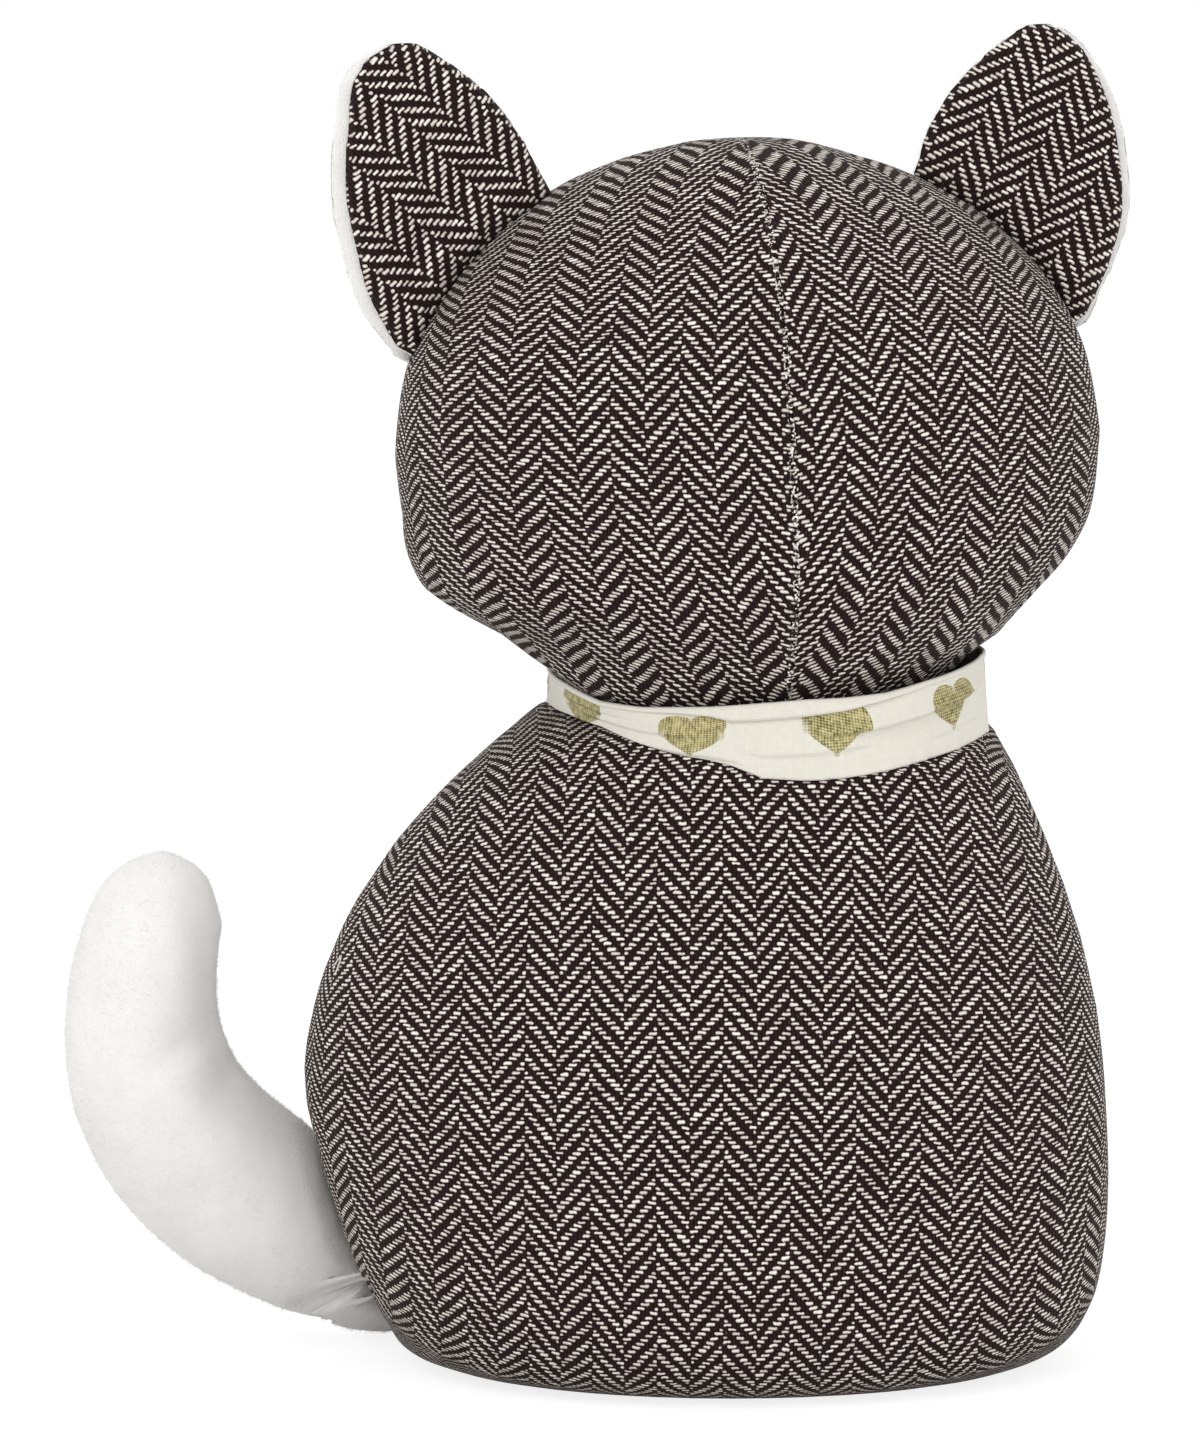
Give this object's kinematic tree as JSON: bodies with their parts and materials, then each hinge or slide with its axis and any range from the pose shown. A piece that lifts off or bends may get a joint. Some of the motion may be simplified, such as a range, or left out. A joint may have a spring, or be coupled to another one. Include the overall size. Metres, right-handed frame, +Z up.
{
  "type": "weighted fabric door stop",
  "caption": "Sand-weighted fabric door stop sewn as a sitting cat, with herringbone tweed head and body, white plush tail and ear fronts, and a folded ribbon collar.",
  "frame": {"origin": "middle of the flat base that it stands on", "axes": "+Z up, the cat's back towards -Y, its tail towards -X"},
  "size_m": [0.2376, 0.1327, 0.2995],
  "materials": {
    "tweed": "coarse herringbone tweed, light weft over dark warp",
    "plush": "short white pile",
    "base_canvas": "plain dark canvas",
    "fibre_filling": "loose white fibre",
    "bag_cloth": "plain cotton",
    "ribbon": "fine cotton canvas, cream, with printed gold hearts",
    "bead": "smooth, glossy"
  },
  "bodies": {
    "root": {"body_back_panel": "tweed", "body_front_panel": "tweed", "head_back_left_panel": "tweed", "head_back_right_panel": "tweed", "head_front_panel": "tweed", "left_ear_back": "tweed", "right_ear_back": "tweed", "left_ear_front": "plush", "right_ear_front": "plush", "tail_cover": "plush", "base_panel": "base_canvas", "body_stuffing": "fibre_filling", "head_stuffing": "fibre_filling", "tail_stuffing": "fibre_filling", "sand_bag": "bag_cloth", "ribbon_collar": "ribbon", "ribbon_knot": "ribbon", "ribbon_end_left": "ribbon", "ribbon_end_right": "ribbon", "left_eye": "bead", "right_eye": "bead", "nose": "bead"}
  },
  "joints": []
}
